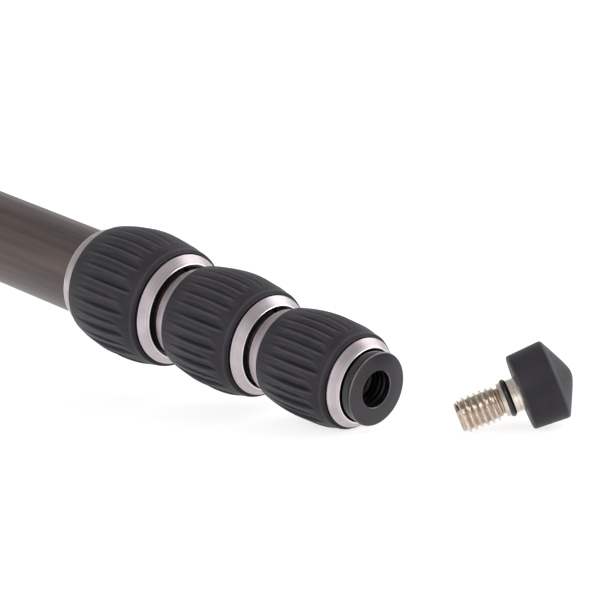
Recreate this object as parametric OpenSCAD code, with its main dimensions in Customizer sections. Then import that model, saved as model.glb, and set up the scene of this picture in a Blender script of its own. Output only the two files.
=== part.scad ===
// Camera tripod, standing low on the floor with its legs at their widest stop and all sections closed.
// Leg A's rubber foot is unscrewed and lies beside its socket. The origin is the centre of the head
// plate's top face, +Z up, and leg A points along +X.

/* [Legs] */
// Length of a closed leg, from its pivot to the face of its foot socket
leg_len = 450.5; // [410:0.5:480]
// Outside diameter of the thickest leg tube
tube_od = 24.6; // [23.5:0.1:26.5]
// How much thinner each next tube is, in diameter
tube_step = 3; // [2.9:0.05:3.2]
// Wall of a leg tube
tube_wall = 0.9; // [0.8:0.02:0.94]
// Angle of a leg at its widest stop, from straight down
low_angle = 80; // [77:0.5:82]
// Distance from the column's axis to a leg's pivot
pivot_r = 33; // [33:0.5:38]
// Length of the guide bush at the top of an inner tube
guide_len = 26; // [18:1:34]

/* [Twist locks] */
// Length of each lock's rubber sleeve, first lock to third
sleeve_len = [28.2, 26.4, 25.8]; // [22:0.1:34]
// Height of each sleeve's fullest part above its own tube
sleeve_rise = [5.75, 5.5, 5.1]; // [4.5:0.05:6.5]
// Height of each sleeve's rear edge above its own tube
sleeve_rear_rise = [3.3, 3.8, 3.5]; // [3.2:0.05:4.2]
// Height of each sleeve's front edge above its own tube
sleeve_front_rise = [3.95, 3.55, 3.3]; // [3.2:0.05:4.2]
// Height of each front ring's rear edge above its own tube
cone_rise = [3.25, 2.95, 2.8]; // [2.7:0.05:3.4]
// Height of each front ring's mouth edge above its own tube
mouth_rise = [1.35, 1.1, 1.05]; // [1:0.05:1.6]
// Where a sleeve is fullest, as a share of its length from the front
fullest_at = 0.46; // [0.35:0.01:0.6]
// Length of the bright cone at a lock's front
cone_len = 2.9; // [2.4:0.1:3.6]
// Length of the bright ring at a lock's rear
rear_ring_len = 4; // [3.4:0.1:5]
// Height of the rear ring above its tube
rear_ring_rise = 2.2; // [2:0.05:2.4]
// Gap between a lock and the next one when the leg is closed
lock_gap = 1.8; // [0.8:0.1:3]
// Grooves round a sleeve
groove_count = 16; // [12:1:20]
// Depth of a sleeve's grooves at its fullest part
groove_depth = 1.2; // [0.6:0.1:1.4]
// Wall of the threaded ferrule on a tube's end
ferrule_wall = 1.2; // [1.1:0.05:1.3]
// Length of a clamp bush behind its tube's end
skirt_len = 12; // [6:1:18]

/* [Feet] */
// Length of foot socket that shows in front of the third lock
socket_show = 3.4; // [2.4:0.1:5]
// Height of the socket's face above the thinnest tube
face_rise = 2.15; // [1.9:0.05:3.2]
// Outside diameter of the foot stud's thread, a 3/8 inch camera thread
stud_d = 9.4; // [9:0.05:9.5]
// Pitch of that thread, sixteen turns to the inch
stud_pitch = 1.5875; // [1.4:0.0125:1.6]
// Number of thread turns on the stud
stud_turns = 6; // [4:1:7]
// Length of the stud between its thread and the rubber
stud_neck = 6.75; // [6.5:0.05:8]
// Thickness of the sealing ring
seal_t = 1.4; // [1.2:0.05:1.5]
// Radius of the rubber foot at its rear
pad_rear_r = 10; // [9.2:0.1:10.6]
// Radius of the rubber foot at its rim
pad_rim_r = 10.5; // [9.8:0.1:12]
// Length of the rubber foot from its rear to its rim
pad_len = 9.9; // [8.5:0.1:13]
// Height of the cone on the rubber foot
pad_cone = 4.3; // [3.5:0.1:7]
// Place of leg A's loose foot beyond the socket's face, along the leg's direction over the floor
loose_x = 28.1; // [28:0.1:80]
// Place of the loose foot to the side of leg A
loose_y = 23.4; // [12:0.1:60]
// Heading of the loose foot, from leg A's direction
loose_yaw = 50; // [30:0.5:60]

/* [Crown] */
// Radius of the crown's body
crown_r = 22; // [20:0.5:22.5]
// Height of the crown's body
crown_h = 30; // [28:1:34]
// Thickness of one ear of a leg joint
ear_t = 5; // [4:0.5:6]
// Width of a leg's tongue between its two ears
tongue_w = 22.4; // [20:0.2:24]
// Radius of an ear round the pivot
ear_r = 11.5; // [11:0.1:11.8]
// Rise of each step on an ear's edge, where the leg stops bear
ear_step = 1.5; // [1:0.1:1.6]
// Radius of a leg's pivot bolt
bolt_r = 4; // [3:0.25:5]
// Radius of a leg's shoulder casting
shoulder_r = 15; // [14.4:0.1:15.4]
// Length of a shoulder casting from the pivot
shoulder_len = 62; // [54:1:72]
// How far a leg stop pulls out
stop_travel = 4; // [3:0.1:4.4]

/* [Centre column] */
// Outside diameter of the centre column
column_d = 25; // [23:0.5:26]
// Wall of the centre column
column_wall = 1.5; // [1:0.1:2.5]
// Height of the column's lock collar
column_lock_h = 26; // [22:1:32]
// Radius of the column lock at its fullest part
column_lock_r = 20.5; // [19.5:0.5:23]
// Diameter of the head plate
plate_d = 54; // [44:1:64]
// Thickness of the head plate
plate_t = 7; // [5:0.5:10]
// Diameter of the head stud, a 3/8 inch camera screw
head_stud_d = 9.5; // [9:0.05:9.525]
// Length of head stud above the plate
head_stud_h = 9; // [6:0.5:12]
// Length of column below the crown when it is down
column_drop = 46; // [30:1:48]
// Inside radius of the ballast hook's eye
eye_r = 4.2; // [3.5:0.1:4.6]
// Radius of the hook's wire
wire_r = 1.9; // [1.5:0.1:2.2]

/* [Fits] */
// Radial clearance where a lock or a tube slides or turns on another piece
run_gap = 0.1; // [0.08:0.01:0.14]
// Radial clearance of a bonded joint
bond_gap = 0.03; // [0.02:0.01:0.05]
// Gap between faces that move past each other
face_gap = 0.3; // [0.2:0.05:0.4]

/* [Hidden] */
$fn = 96;
LEGS = ["a", "b", "c"];
LOCKS = [1, 2, 3];
TUBES = [1, 2, 3, 4];
HUB_NODES = ["crown", "pivot_bolts", "level_vial", "column_tube", "column_collar", "column_sleeve",
    "head_plate", "head_stud", "column_end", "ballast_hook"];

carbon = "#3d3735";
rubber = "#3c3c40";
bright = "#c8bdc2";
anodised = "#353538";
nickel = "#cfc4b6";
nylon = "#1c1c1e";

// Tube radii, and the stations along a leg, measured from its pivot
function tube_r(k) = tube_od / 2 - (k - 1) * tube_step / 2;
function bore_r(k) = tube_r(k) - tube_wall;
function lock_len(k) = cone_len + sleeve_len[k - 1] + rear_ring_len;
function lock_front(k) = k >= len(sleeve_len) ? leg_len - socket_show : lock_rear(k + 1) - lock_gap;
function lock_rear(k) = lock_front(k) - lock_len(k);
seat_back = 6;
function tube_end(k) =
    k > len(sleeve_len) ? leg_len - socket_show : lock_front(k) - cone_len - seat_back;
tube_seat = 29;
top_stagger = 4;
function tube_top(k) = tube_seat + (k - 1) * top_stagger + (k < 2 ? face_gap : 0);

face_r = tube_r(4) + face_rise;
face_edge = 0.5;
rim_edge = 0.5;
mouth_r = stud_d / 2 + 0.3;
mouth_depth = stud_neck - 1.35;
socket_bore_r = stud_d / 2 + run_gap;
socket_bore_depth = 19;
thread_root_r = stud_d / 2 - 0.9;
stud_tip = 0.7;
crest_from = 0.42;
pad_round = 0.6;
stud_out = stud_neck + stud_turns * stud_pitch + stud_tip;
flange_at = 3.2;
flange_t = 1.8;
flange_r = 7;

plate_z = -plate_t;
lock_top = plate_z - 1.2;
lock_base = lock_top - column_lock_h;
crown_top = lock_base - 0.8;
pivot_z = crown_top - crown_h / 2;
crown_base = crown_top - crown_h;
column_bottom = crown_base - column_drop;
column_r = column_d / 2;
neck_r = column_r + 3;
cap_t = 4;

// The legs stand on the floor: leg B and C on the rubber of their feet, leg A, whose foot is off, on
// the rubber sleeve of its last lock
rest_slope = 90 - low_angle;
pivot_h = (leg_len + face_gap + pad_len - rim_edge) * sin(rest_slope) + pad_rim_r * cos(rest_slope);
slope_a = min([for (p = sleeve_outline(len(sleeve_len))) asin(pivot_h / norm(p)) - atan(p[0] / p[1])]);
floor_z = pivot_z - pivot_h;
function slope(i) = i == 0 ? slope_a : rest_slope;

ear_in = tongue_w / 2 + face_gap;
ear_out = ear_in + ear_t;
stop_r = ear_r + 2 * ear_step;
nose_low = 6.5;
nose_z = sqrt(pow(stop_r + 0.25, 2) - pow(nose_low, 2));
nose_h = 4;
nose_t = 4.4;
nose_far_r = norm([nose_z, nose_low + nose_h]);
nose_lead = atan((nose_low + nose_h) / nose_z) - rest_slope;
stop_w = 15.6;
stop_plate_t = 3.7;
stop_plate_end = 37;

// Places the children on leg i: Z runs down the leg from its pivot and X is the leg's upper side
module on_leg(i)
    rotate([0, 0, i * 120]) translate([pivot_r, 0, pivot_z]) rotate([0, 90 + slope(i), 0])
        rotate([0, 0, 180]) children();

// A round tube between two stations
module pipe(r_out, r_in, z0, z1)
    translate([0, 0, z0]) difference() {
        cylinder(r = r_out, h = z1 - z0);
        translate([0, 0, -1]) cylinder(r = r_in, h = z1 - z0 + 2);
    }

// A cylinder lying along Y, centred on the axis
module across(r, w, sides = 96) rotate([90, 0, 0]) cylinder(r = r, h = w, center = true, $fn = sides);

// A wedge of a disc lying across Y, from angle a0 to a1 in the X-Z plane
module sector(r, w, a0, a1)
    intersection() {
        across(r, w);
        rotate([90, 0, 0]) translate([0, 0, -w]) linear_extrude(2 * w)
            polygon(concat([[0, 0]], [for (s = [0:4])
                let (a = a0 + (a1 - a0) * s / 4) 3 * r * [cos(a), sin(a)]]));
    }

// Barrel outline from its rear edge to its front edge, as radius and station
function barrel(rear_r, full_r, front_r, z0, z1, steps = 7) =
    let (zf = z1 - fullest_at * (z1 - z0))
    concat(
        [for (s = [0:steps]) let (u = 1 - s / steps)
            [full_r - (full_r - rear_r) * u * u, zf - (zf - z0) * u]],
        [for (s = [1:steps]) let (u = s / steps)
            [full_r - (full_r - front_r) * u * u, zf + (z1 - zf) * u]]);

// Outline of lock k's rubber sleeve
function sleeve_outline(k) = let (r = tube_r(k))
    barrel(r + sleeve_rear_rise[k - 1], r + sleeve_rise[k - 1], r + sleeve_front_rise[k - 1],
        lock_rear(k) + rear_ring_len + 0.1, lock_front(k) - cone_len - 0.15);

// A rubber sleeve: a barrel with straight grooves that run out where the barrel falls away. Each groove
// slopes in from one side and comes back out at a step
module grip(outline, full_r, in_r) {
    z0 = outline[0][1];
    z1 = outline[len(outline) - 1][1];
    length = z1 - z0;
    zf = z1 - fullest_at * length;
    difference() {
        rotate_extrude() polygon(concat(outline, [[in_r, z1], [in_r, z0]]));
        for (g = [0:groove_count - 1]) {
            shift = length * [0, 0.03, -0.02, 0.02][g % 4];
            rotate([0, 0, g * 360 / groove_count])
                translate([full_r - groove_depth, 0, zf + shift - groove_reach * length])
                    rotate([0, 0, groove_slope - 90]) cube([8, 8, 2 * groove_reach * length]);
        }
    }
}

groove_reach = 0.37;
groove_slope = 17;

module crown() color(anodised) {
    difference() {
        union() {
            translate([0, 0, crown_base]) cylinder(r1 = crown_r - 1.5, r2 = crown_r, h = 1.5);
            translate([0, 0, crown_base + 1.5]) cylinder(r = crown_r, h = crown_h - 3);
            translate([0, 0, crown_top - 1.5]) cylinder(r1 = crown_r, r2 = crown_r - 1.5, h = 1.5);
            cylinder_neck();
            for (i = [0:2]) rotate([0, 0, i * 120]) for (side = [-1, 1]) ear(side);
            rotate([0, 0, 180]) translate([crown_r + 3, 0, crown_base + 8])
                cylinder(r = level_r + 2.4, h = crown_h - 10);
            rotate([0, 0, 180]) translate([crown_r - 4, -level_r - 2.4, crown_base + 8])
                cube([7, 2 * level_r + 4.8, crown_h - 10]);
        }
        translate([0, 0, crown_base - 1]) cylinder(r = column_r + run_gap, h = plate_z - crown_base);
        for (i = [0:2]) rotate([0, 0, i * 120]) {
            translate([pivot_r, 0, pivot_z]) across(bolt_r + run_gap, 3 * ear_out);
            translate([pivot_r - ear_r - 1.2, -ear_in, crown_base - 1])
                cube([3 * ear_r, 2 * ear_in, crown_h + 2]);
        }
        rotate([0, 0, 180]) translate([crown_r + 3, 0, crown_top - 2 - level_depth])
            cylinder(r = level_r + bond_gap, h = level_depth + 1);
    }
}
level_r = 5.5;
level_depth = 4.5;

// Angles that the steps of an ear's edge cover, from where the leg stop's nose bears
low_step = [-57, 150];
mid_step = [-30, 140];
high_step = [0.8, 55];

// The threaded neck that the column's lock collar turns on
module cylinder_neck()
    translate([0, 0, crown_top - 0.5]) cylinder(r = neck_r, h = lock_top - neck_drop - crown_top + 0.5);
neck_drop = 9;

// One ear: a disc round the pivot whose edge steps up three times, and a web back to the body
module ear(side)
    translate([pivot_r, side * (ear_in + ear_t / 2), pivot_z]) {
        across(ear_r, ear_t);
        sector(ear_r + ear_step, ear_t, nose_lead + low_step[0], nose_lead + low_step[1]);
        sector(stop_r, ear_t, nose_lead + mid_step[0], nose_lead + mid_step[1]);
        intersection() {
            sector(nose_far_r + 2, ear_t, nose_lead + high_step[0], nose_lead + high_step[1]);
            translate([-2 * stop_r, -ear_t, -crown_h]) cube([4 * stop_r, 2 * ear_t, 1.5 * crown_h - 0.2]);
        }
        translate([-pivot_r + crown_r - 6, -ear_t / 2, -ear_r])
            cube([pivot_r - crown_r + 6, ear_t, 2 * ear_r]);
    }

// Three pivot bolts, each a shank with a socket head at both ends
module pivot_bolts() color(bright)
    for (i = [0:2]) rotate([0, 0, i * 120]) translate([pivot_r, 0, pivot_z]) difference() {
        union() {
            across(bolt_r, 2 * ear_out + 0.2);
            for (side = [-1, 1]) translate([0, side * (ear_out + 0.1), 0]) rotate([-side * 90, 0, 0]) {
                cylinder(r = bolt_r + 2.5, h = 2);
                translate([0, 0, 2]) cylinder(r1 = bolt_r + 2.5, r2 = bolt_r + 1.7, h = 0.8);
            }
        }
        for (side = [-1, 1]) translate([0, side * (ear_out + 1.2), 0]) rotate([-side * 90, 0, 0])
            cylinder(r = bolt_r * 0.72, h = 4, $fn = 6);
    }

module level_vial() color("palegreen")
    rotate([0, 0, 180]) translate([crown_r + 3, 0, crown_top - 2 - level_depth + 0.1]) {
        cylinder(r = level_r, h = level_depth - 0.1);
        translate([0, 0, level_depth - 0.1]) cylinder(r1 = level_r, r2 = level_r - 0.8, h = 0.6);
    }

module column_tube() color(carbon) pipe(column_r, column_r - column_wall, column_bottom, plate_z - bond_gap);

// The column's lock collar turns on the crown's neck and presses a split bush round the column
module column_collar() color(bright) {
    body_r = neck_r + 2.2;
    translate([0, 0, lock_base]) rotate_extrude() polygon([
        [neck_r + run_gap, 0], [body_r + 0.6, 0], [body_r + 1, 0.4], [body_r + 1, 3], [body_r, 3],
        [body_r, column_lock_h - 4], [body_r + 0.8, column_lock_h - 4], [column_r + 2.4, column_lock_h],
        [column_r + 0.4, column_lock_h], [column_r + 0.4, column_lock_h - 2],
        [column_r + 1.4, column_lock_h - 2], [neck_r + run_gap, column_lock_h - 7.3]]);
    difference() {
        translate([0, 0, lock_top - neck_drop + 0.15]) rotate_extrude() polygon([
            [column_r + run_gap, 0], [neck_r - 0.2, 0], [neck_r - 0.2, 1.2],
            [column_r + 1.2, 6.55], [column_r + run_gap, 6.55]]);
        translate([0, -0.8, lock_top - 10]) cube([40, 1.6, 10]);
    }
}

module column_sleeve() color(rubber) {
    body_r = neck_r + 2.2;
    grip(barrel(body_r + 1.6, column_lock_r, body_r + 1.4, lock_base + 3.2, lock_top - 4.2),
        column_lock_r, body_r + bond_gap);
}

// The plate that a head stands on, with a spigot down into the column
module head_plate() color(anodised) difference() {
    union() {
        translate([0, 0, plate_z]) rotate_extrude() polygon([
            [0, 0], [plate_d / 2 - 3, 0], [plate_d / 2, 2], [plate_d / 2, plate_t - 0.8],
            [plate_d / 2 - 0.8, plate_t], [0, plate_t]]);
        translate([0, 0, plate_z - 18]) cylinder(r = column_r - column_wall - bond_gap, h = 18.5);
    }
    translate([0, 0, plate_z - 19]) cylinder(r = stud_root_r + bond_gap, h = plate_t + 20);
    translate([0, 0, -sink_depth]) cylinder(r1 = stud_root_r, r2 = head_stud_d / 2 + 0.35, h = sink_depth);
    translate([0, 0, -bond_gap]) cylinder(r = head_stud_d / 2 + 0.35, h = 1);
}
sink_depth = 1.2;

module head_stud() color(nickel) {
    translate([0, 0, plate_z - 16]) cylinder(r = stud_root_r, h = plate_t + 16);
    cylinder(d = head_stud_d, h = head_stud_h - 1);
    translate([0, 0, head_stud_h - 1]) cylinder(d1 = head_stud_d, d2 = head_stud_d - 2, h = 1);
}
stud_root_r = head_stud_d / 2 - 0.8;

// The cap that closes the column's lower end and carries the hook
module column_end() color(anodised) difference() {
    union() {
        translate([0, 0, column_bottom - cap_t]) rotate_extrude() polygon([
            [0, 0], [column_r - 1.5, 0], [column_r + 1, 1.5], [column_r + 1, cap_t - bond_gap],
            [0, cap_t - bond_gap]]);
        translate([0, 0, column_bottom - 1]) cylinder(r = column_r - column_wall - bond_gap, h = 13);
    }
    translate([0, 0, column_bottom - cap_t - 1]) cylinder(r = wire_r + bond_gap, h = cap_t + 9);
}

// A plain eye screwed into the cap, for a ballast bag
module ballast_hook() color(bright) {
    eye_z = column_bottom - cap_t - 1.5 - 2 * wire_r - eye_r;
    translate([0, 0, eye_z]) rotate([90, 0, 0]) rotate_extrude()
        translate([eye_r + wire_r, 0]) circle(r = wire_r, $fn = 48);
    translate([0, 0, eye_z + eye_r + wire_r]) cylinder(r = wire_r, h = 1.5 + wire_r + cap_t + 6);
    translate([0, 0, column_bottom - cap_t - 1.5]) cylinder(r = wire_r + 2.2, h = 1.2);
}

// The casting at the top of a leg: a tongue on the pivot that opens out to hold the first tube
module shoulder(i) color(anodised) on_leg(i) difference() {
    union() {
        across(shoulder_boss, tongue_w);
        translate([-shoulder_boss, -tongue_w / 2, 0]) cube([2 * shoulder_boss, tongue_w, 20]);
        translate([0, 0, shoulder_from]) cylinder(r1 = shoulder_r - 1.5, r2 = shoulder_r, h = 1.5);
        translate([0, 0, shoulder_from + 1.5]) cylinder(r = shoulder_r, h = shoulder_len - shoulder_from - 3);
        translate([0, 0, shoulder_len - 1.5]) cylinder(r1 = shoulder_r, r2 = shoulder_r - 1.2, h = 1.5);
    }
    across(bolt_r + run_gap, 2 * tongue_w);
    translate([0, 0, tube_seat]) cylinder(r = tube_r(1) + bond_gap, h = shoulder_len);
    translate([nose_low - face_gap, -40, nose_z - 1.5]) cube([40, 80, nose_t + stop_travel + 2]);
    translate([nose_low - face_gap, -stop_w / 2 - face_gap, nose_z - 1.5])
        cube([40, stop_w + 2 * face_gap, riser_far + stop_travel + face_gap - nose_z + 1.5]);
    translate([tube_r(1) + 1.9, -stop_w / 2 - face_gap, 0]) cube([40, stop_w + 2 * face_gap, 44]);
}
shoulder_boss = 9.3;
shoulder_from = stop_r + 2.3;
riser_far = nose_z + nose_t + 4;

// The pull-out stop: a nose bar across both ears, a riser and a ribbed thumb plate
module leg_stop(i) color(bright) on_leg(i) {
    plate_low = tube_r(1) + 1.9 + face_gap;
    translate([nose_low, -ear_out, nose_z]) cube([nose_h, 2 * ear_out, nose_t]);
    plate_z0 = nose_z + 2;
    translate([nose_low, -stop_w / 2, plate_z0])
        cube([plate_low + stop_plate_t - nose_low, stop_w, riser_far - plate_z0]);
    translate([plate_low, -stop_w / 2, plate_z0]) cube([stop_plate_t, stop_w, stop_plate_end - plate_z0]);
    for (s = [0:3]) translate([plate_low + stop_plate_t, 0, stop_plate_end - 2 - s * 3])
        across(0.8, stop_w, 48);
}

// A carbon tube with the threaded ferrule bonded on its end, and holes for its guide bush's pegs
module tube_body(k) {
    difference() {
        union() {
            pipe(tube_r(k), bore_r(k), tube_top(k), tube_end(k) - (k == 4 ? 0.1 : 0));
            if (k < 4) pipe(tube_r(k) + ferrule_wall, tube_r(k) - 0.3,
                lock_rear(k) + rear_ring_len - 1 + face_gap, tube_end(k));
        }
        if (k > 1) translate([0, 0, tube_top(k) + guide_len / 2]) rotate([0, 0, 90])
            across(peg_r + run_gap, 3 * tube_od, 48);
    }
}
peg_r = 1.8;

// Two half shells with pegs that guide tube k inside the tube above it
module guide_bush(k)
    difference() {
        union() {
            pipe(bore_r(k - 1) - run_gap, tube_r(k) + bond_gap, tube_top(k), tube_top(k) + guide_len);
            translate([0, 0, tube_top(k) + guide_len / 2]) rotate([0, 0, 90]) difference() {
                across(peg_r, 2 * tube_r(k) + 0.2, 48);
                across(3 * peg_r, 2 * bore_r(k) + 0.2, 48);
            }
        }
        translate([-0.5, -tube_od, tube_top(k) - 1]) cube([1, 2 * tube_od, guide_len + 2]);
    }

// The split clamp bush in lock k: a thin skirt in the tube and a tapered head in the collar's cone
module clamp_bush(k) {
    in_r = tube_r(k + 1) + run_gap;
    z = tube_end(k) + 0.2;
    front = lock_front(k) - 0.8;
    difference() {
        rotate_extrude() polygon([
            [in_r, z - skirt_len], [bore_r(k) - run_gap, z - skirt_len], [bore_r(k) - run_gap, z],
            [tube_r(k) + ferrule_wall - 0.1, z], [tube_r(k) + ferrule_wall - 0.1, z + 1],
            [tube_r(k) - 0.2, front], [in_r, front]]);
        translate([0, -0.8, z - skirt_len - 1]) cube([tube_od, 1.6, skirt_len + 20]);
    }
}

module bushes(k) {
    if (k > 1) guide_bush(k);
    if (k < 4) clamp_bush(k);
}

// Legs B and C keep their bushes in their tubes' nodes, as separate solids
module leg_tube(i, k) color(carbon) on_leg(i) {
    tube_body(k);
    if (i > 0) bushes(k);
}

module leg_bush(k) color(nylon) on_leg(0) bushes(k);

// A lock's collar: rear ring, the threaded body under the rubber and the cone round the mouth
module leg_collar(i, k) color(bright) on_leg(i) {
    r = tube_r(k);
    z0 = lock_rear(k);
    z1 = lock_front(k);
    thread_r = r + ferrule_wall + run_gap + 0.05;
    seat = tube_end(k) + face_gap;
    rotate_extrude() polygon([
        [r + run_gap, z0], [r + rear_ring_rise - 0.3, z0], [r + rear_ring_rise, z0 + 0.3],
        [r + rear_ring_rise, z0 + rear_ring_len], [r + core_rise, z0 + rear_ring_len],
        [r + core_rise, z1 - cone_len], [r + cone_rise[k - 1], z1 - cone_len],
        [r + mouth_rise[k - 1], z1], [r + 0.6, z1], [r + 0.15, z1 - 0.5], [r + 0.15, z1 - 1.5],
        [thread_r, seat + 1], [thread_r, z0 + rear_ring_len - 1], [r + run_gap, z0 + rear_ring_len - 1]]);
}
core_rise = 2.5;

module leg_sleeve(i, k) color(rubber) on_leg(i) {
    grip(sleeve_outline(k), tube_r(k) + sleeve_rise[k - 1], tube_r(k) + core_rise + bond_gap);
}

// The foot socket, bonded in the thinnest tube
module leg_socket(i) color(anodised) on_leg(i) {
    shank = bore_r(4) - bond_gap;
    wall_r = face_r - 0.4;
    rear = leg_len - socket_bore_depth - socket_floor;
    difference() {
        rotate_extrude() polygon([
            [0, rear], [shank - rear_edge, rear], [shank, rear + rear_edge],
            [shank, leg_len - socket_show],
            [tube_r(4) + 0.6, leg_len - socket_show], [tube_r(4) + 0.6, leg_len - socket_show + face_gap],
            [wall_r, leg_len - socket_show + face_gap], [wall_r, leg_len - 1.2],
            [wall_r - 0.2, leg_len - 1.2], [wall_r - 0.2, leg_len - 0.9], [face_r, leg_len - 0.9],
            [face_r, leg_len - face_edge], [face_r - face_edge, leg_len], [0, leg_len]]);
        translate([0, 0, leg_len - socket_bore_depth]) cylinder(r = socket_bore_r, h = 20);
        translate([0, 0, leg_len - mouth_depth]) cylinder(r = mouth_r, h = 10);
    }
}
socket_floor = 6;
rear_edge = 0.6;

// Places the children on foot i: Z runs from the rubber's rear face out to its cone. The loose
// foot lies on the rubber's rear edge and on the crest of its first thread
module on_foot(i) {
    edge_r = pad_rear_r - pad_round * (1 - sin(60));
    edge_w = pad_round * (1 - cos(60));
    crest_w = stud_neck + (stud_turns - crest_from) * stud_pitch;
    tilt = atan((edge_r - stud_d / 2) / (edge_w + crest_w));
    rear_h = edge_r * cos(tilt) - edge_w * sin(tilt);
    reach = pivot_r + (leg_len - face_edge) * cos(slope_a) + face_edge;
    if (i == 0) translate([reach + loose_x, loose_y, floor_z + rear_h])
        rotate([0, 90 - tilt, loose_yaw]) children();
    else on_leg(i) translate([0, 0, leg_len + face_gap]) children();
}

// The foot's stud: thread, relief, seal groove, neck and the flange held in the rubber
module foot_stud(i) color(nickel) on_foot(i) {
    start = -stud_neck - stud_turns * stud_pitch;
    rotate_extrude() polygon(concat(
        [[0, start - stud_tip], [thread_root_r - 0.4, start - stud_tip], [thread_root_r, start]],
        [for (t = [0:stud_turns - 1])
            for (p = [[stud_d / 2, crest_from], [stud_d / 2, 1 - crest_from], [thread_root_r, 1]])
                [p[0], start + (t + p[1]) * stud_pitch]],
        [[relief_r, -stud_neck + 0.2], [relief_r, -stud_neck + 1.6], [seal_step_r, -stud_neck + 1.6],
         [seal_step_r, seal_at - seal_t / 2],
         [seal_in_r - bond_gap, seal_at - seal_t / 2], [seal_in_r - bond_gap, seal_at + seal_t / 2],
         [neck_stud_r, seal_at + seal_t / 2], [neck_stud_r, flange_at], [flange_r, flange_at],
         [flange_r, flange_at + flange_t], [0, flange_at + flange_t]]));
}
seal_at = -3.3;
seal_in_r = mouth_r - 0.15 - seal_t;
neck_stud_r = 4.47;
relief_r = 3.42;
seal_step_r = 4.5;

module foot_seal(i) color("#101010") on_foot(i)
    translate([0, 0, seal_at]) rotate_extrude()
        translate([seal_in_r + seal_t / 2, 0]) circle(r = seal_t / 2 - 0.005, $fn = 48);

// The rubber foot, moulded round the stud's flange; feet B and C keep their seal in the same node
module foot_pad(i) {
    color(rubber) on_foot(i) difference() {
        rotate_extrude() polygon(concat(
            [[0, 0], [pad_rear_r - pad_round, 0]],
            [for (a = [30, 60, 90]) [pad_rear_r - pad_round * (1 - sin(a)), pad_round * (1 - cos(a))]],
            [[pad_rim_r, pad_len - rim_edge], [pad_rim_r - 0.4, pad_len]],
            [for (a = [0:15:45]) [2.4 * cos(a + 45), pad_len + pad_cone - 2.4 * (1 - sin(a + 45)) * 0.6]],
            [[0, pad_len + pad_cone]]));
        translate([0, 0, -1]) cylinder(r = neck_stud_r + bond_gap, h = flange_at + 1.5);
        translate([0, 0, flange_at - bond_gap])
            cylinder(r = flange_r + bond_gap, h = flange_t + 2 * bond_gap);
    }
    if (i > 0) foot_seal(i);
}

crown();
pivot_bolts();
level_vial();
column_tube();
column_collar();
column_sleeve();
head_plate();
head_stud();
column_end();
ballast_hook();
for (i = [0:2]) {
    shoulder(i);
    leg_stop(i);
    for (k = TUBES) leg_tube(i, k);
    for (k = LOCKS) leg_collar(i, k);
    for (k = LOCKS) leg_sleeve(i, k);
    leg_socket(i);
    foot_stud(i);
    foot_pad(i);
}
for (k = TUBES) leg_bush(k);
foot_seal(0);  // foot_a_seal
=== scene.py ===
import math
import bpy
import numpy as np
from mathutils import Matrix, Vector


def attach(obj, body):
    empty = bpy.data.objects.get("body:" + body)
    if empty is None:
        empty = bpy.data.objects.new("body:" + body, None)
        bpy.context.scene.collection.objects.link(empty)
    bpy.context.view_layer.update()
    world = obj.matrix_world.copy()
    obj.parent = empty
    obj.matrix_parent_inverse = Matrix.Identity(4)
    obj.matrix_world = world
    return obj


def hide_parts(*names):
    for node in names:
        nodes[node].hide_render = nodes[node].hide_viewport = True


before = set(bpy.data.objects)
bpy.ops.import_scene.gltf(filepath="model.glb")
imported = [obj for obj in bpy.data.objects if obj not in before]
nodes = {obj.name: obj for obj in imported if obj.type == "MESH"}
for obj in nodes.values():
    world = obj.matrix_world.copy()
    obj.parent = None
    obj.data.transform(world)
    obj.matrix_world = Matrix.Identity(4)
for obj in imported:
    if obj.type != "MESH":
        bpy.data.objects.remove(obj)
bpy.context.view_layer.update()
mm = 0.001
legNames = ["a", "b", "c"]

# Sizes that several pieces share, in millimetres, the same as the solids'
leg = {
    "length": 450.5, "tubeRadii": [12.3, 10.8, 9.3, 7.8],
    "pivotRadius": 33.0, "pivotHeight": -50.0, "slopes": [10.055597596, 10.0, 10.0],
    "lockFront": [377.5, 412.6, 447.1], "lockRear": [342.4, 379.3, 414.4],
    "cone": 2.9, "rearRing": 4.0, "core": 2.5, "floor": -140.25337277, "faceEdge": 0.5, "footGap": 0.3,
}
looseFoot = {"ahead": 28.1, "aside": 23.4, "heading": 50.0, "edgeRadius": 9.9196, "edgeBack": 0.3,
             "crestRadius": 4.7, "crestBack": 15.60825}
threadPitch = 1.5875  # of a 3/8 inch camera thread, 16 turns to the inch


def turn(degrees, axis):
    return Matrix.Rotation(math.radians(degrees), 4, axis)


def move(x, y, z):
    return Matrix.Translation((x * mm, y * mm, z * mm))


def legMatrix(i):
    # Z runs down leg i from its pivot, X is its upper side
    return (turn(120 * i, "Z") @ move(leg["pivotRadius"], 0, leg["pivotHeight"])
            @ turn(90 + leg["slopes"][i], "Y") @ turn(180, "Z"))


def footMatrix(i):
    # Z runs from the rubber's rear face out to its cone. Leg A's foot lies on the floor, on its rubber
    # and on its thread's last crest
    if i > 0:
        return legMatrix(i) @ move(0, 0, leg["length"] + leg["footGap"])
    v = looseFoot
    tilt = math.atan((v["edgeRadius"] - v["crestRadius"]) / (v["edgeBack"] + v["crestBack"]))
    height = v["edgeRadius"] * math.cos(tilt) - v["edgeBack"] * math.sin(tilt)
    slope = math.radians(leg["slopes"][0])
    reach = leg["pivotRadius"] + (leg["length"] - leg["faceEdge"]) * math.cos(slope) + leg["faceEdge"]
    return (move(reach + v["ahead"], v["aside"], leg["floor"] + height) @ turn(v["heading"], "Z")
            @ turn(90 - math.degrees(tilt), "Y"))


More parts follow.
